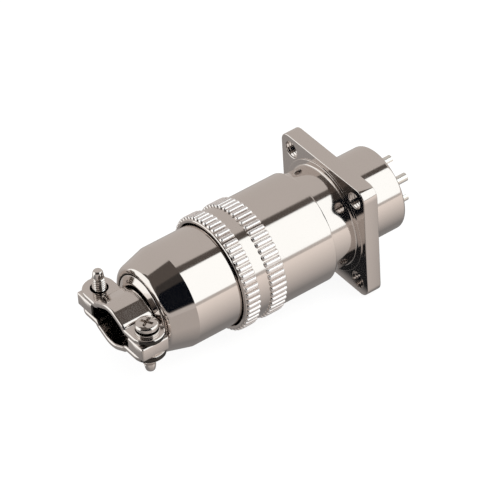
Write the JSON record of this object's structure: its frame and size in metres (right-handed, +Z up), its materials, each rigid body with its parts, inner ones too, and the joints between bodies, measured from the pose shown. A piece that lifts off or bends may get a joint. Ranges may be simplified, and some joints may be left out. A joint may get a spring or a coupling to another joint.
{
  "type": "aviation plug connector",
  "caption": "Push-pull circular multi-contact cable connector: knurled locking-sleeve plug with a cable clamp, mated with its square-flange panel receptacle.",
  "frame": {"origin": "centre of the flange's cable-side face, on the connector's axis", "axes": "+X along the connector's axis towards the receptacle's solder contacts, -X towards the cable clamp, +Z up along the clamp screws, +Y completes the frame across the flange"},
  "size_m": [0.0625, 0.024, 0.024],
  "materials": {
    "shell_nickel": "satin nickel plate on brass",
    "sleeve_nickel": "satin nickel plate on brass, straight knurled",
    "bell_nickel": "satin nickel plate with fine turning lines",
    "inner_nickel": "satin nickel plate",
    "clamp_nickel": "bright nickel plate",
    "saddle_nickel": "bright nickel plate on stamped strip",
    "screw_nickel": "bright nickel plated steel",
    "spring_steel": "plain spring steel",
    "spring_brass": "phosphor bronze",
    "contact_metal": "silver plate on brass",
    "insulator_plastic": "black moulded phenolic",
    "ring_plastic": "black moulded plastic"
  },
  "bodies": {
    "receptacle": {"receptacle_shell": "shell_nickel", "receptacle_insulator": "insulator_plastic", "receptacle_ring": "ring_plastic", "pin_1": "contact_metal", "pin_2": "contact_metal", "pin_3": "contact_metal", "pin_4": "contact_metal", "pin_5": "contact_metal"},
    "plug": {"plug_shell": "inner_nickel", "latch_collet": "spring_brass", "return_spring": "spring_steel", "spring_washer": "spring_steel", "plug_insulator": "insulator_plastic", "plug_ring": "ring_plastic", "socket_1": "contact_metal", "socket_2": "contact_metal", "socket_3": "contact_metal", "socket_4": "contact_metal", "socket_5": "contact_metal", "back_shell": "bell_nickel", "clamp_ring": "inner_nickel"},
    "sleeve": {"locking_sleeve": "sleeve_nickel"},
    "cable_clamp": {"clamp_body": "clamp_nickel", "saddle_upper": "saddle_nickel", "saddle_lower": "saddle_nickel", "clamp_screws": "screw_nickel", "clamp_washers": "screw_nickel"}
  },
  "joints": [
    {"name": "plug_pull", "type": "slide", "parent": "receptacle", "child": "plug", "axis": [-1, 0, 0], "range_m": [0, 0.02], "deforming": ["latch_collet"]},
    {"name": "sleeve_slide", "type": "slide", "parent": "plug", "child": "sleeve", "axis": [-1, 0, 0], "range_m": [0, 0.003], "stiffness_N_per_m": 1000, "springref_m": -0.003, "deforming": ["return_spring"]},
    {"name": "clamp_swivel", "type": "hinge", "parent": "plug", "child": "cable_clamp", "pos_m": [-0.0385, 0, 0], "axis": [1, 0, 0], "continuous": true}
  ]
}
